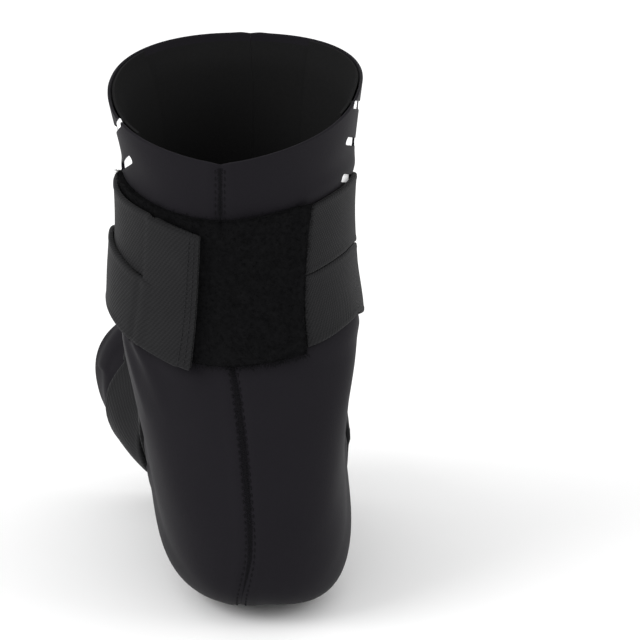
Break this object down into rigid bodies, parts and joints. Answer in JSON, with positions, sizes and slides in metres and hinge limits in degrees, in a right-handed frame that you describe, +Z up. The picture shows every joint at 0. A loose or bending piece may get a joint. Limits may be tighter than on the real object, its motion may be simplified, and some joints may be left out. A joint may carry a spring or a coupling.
{
  "type": "ankle compression sleeve",
  "caption": "Open-toe ankle compression sleeve in its worn form, with crossed elastic bands that fasten on a pile panel at the back, and vent slots down both sides.",
  "frame": {"origin": "middle of the ankle, inside the sleeve, where the wearer's ankle sits", "axes": "+Z up the leg, toes toward -Y and a little toward +X, back seam toward +Y"},
  "size_m": [0.1072, 0.141, 0.1879],
  "materials": {
    "sleeve_cloth": "matt fine knit over foam",
    "band_elastic": "matt ribbed elastic webbing",
    "pile": "fuzzy loop pile",
    "backing_cloth": "thin white knit"
  },
  "bodies": {
    "root": {"sleeve_panel_left": "sleeve_cloth", "sleeve_panel_right": "sleeve_cloth", "back_seam": "sleeve_cloth", "front_seam": "sleeve_cloth", "loop_panel": "pile", "hook_patch": "band_elastic", "strap_a_upper": "band_elastic", "strap_a_lower": "band_elastic", "strap_b_upper": "band_elastic", "strap_b_lower": "band_elastic", "sole_anchor": "band_elastic", "vent_backing_left": "backing_cloth", "vent_backing_right": "backing_cloth", "arch_backing_left": "backing_cloth", "arch_backing_right": "backing_cloth"}
  },
  "joints": []
}
